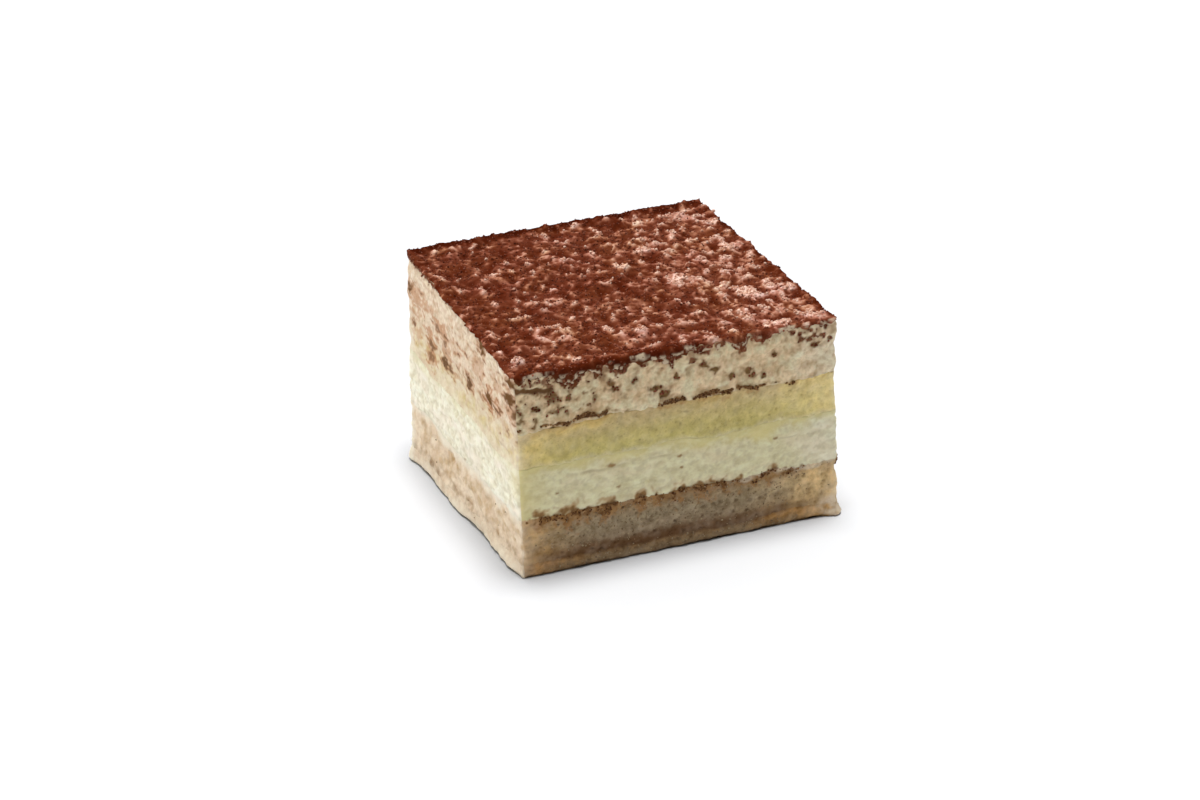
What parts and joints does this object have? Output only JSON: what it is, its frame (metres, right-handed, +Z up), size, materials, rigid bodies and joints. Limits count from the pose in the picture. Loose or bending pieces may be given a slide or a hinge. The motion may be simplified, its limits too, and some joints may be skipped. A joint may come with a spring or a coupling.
{
  "type": "tiramisu mousse cake portion",
  "caption": "Rectangular portion of layered tiramisu mousse cake: sponge and cream layers under a cocoa-dusted cream top, cut clean on every side, for serving on a plate.",
  "frame": {"origin": "under the middle of the cake, on the surface it stands on", "axes": "+Z up through the layers, +X along the longer side with the left cut at -X, -Y towards the front cut"},
  "size_m": [0.0728, 0.065, 0.0475],
  "materials": {
    "base_sponge": "thin soaked sponge, pale brown, damp crumb",
    "coffee_sponge": "coffee-soaked sponge, greyish tan, open crumb, dark crust line",
    "cream_filling": "white mousse cream, smooth and slightly moist, faint knife marks",
    "yellow_sponge": "plain yellow sponge, fine open crumb, dark crust line",
    "top_cream": "cream flecked with cocoa, dragged by the knife, slightly moist",
    "cocoa": "dry cocoa powder in fine clumps, no shine"
  },
  "bodies": {
    "root": {"base_sponge": "base_sponge", "coffee_sponge": "coffee_sponge", "cream_filling": "cream_filling", "yellow_sponge": "yellow_sponge", "top_cream": "top_cream", "cocoa_topping": "cocoa"}
  },
  "joints": []
}
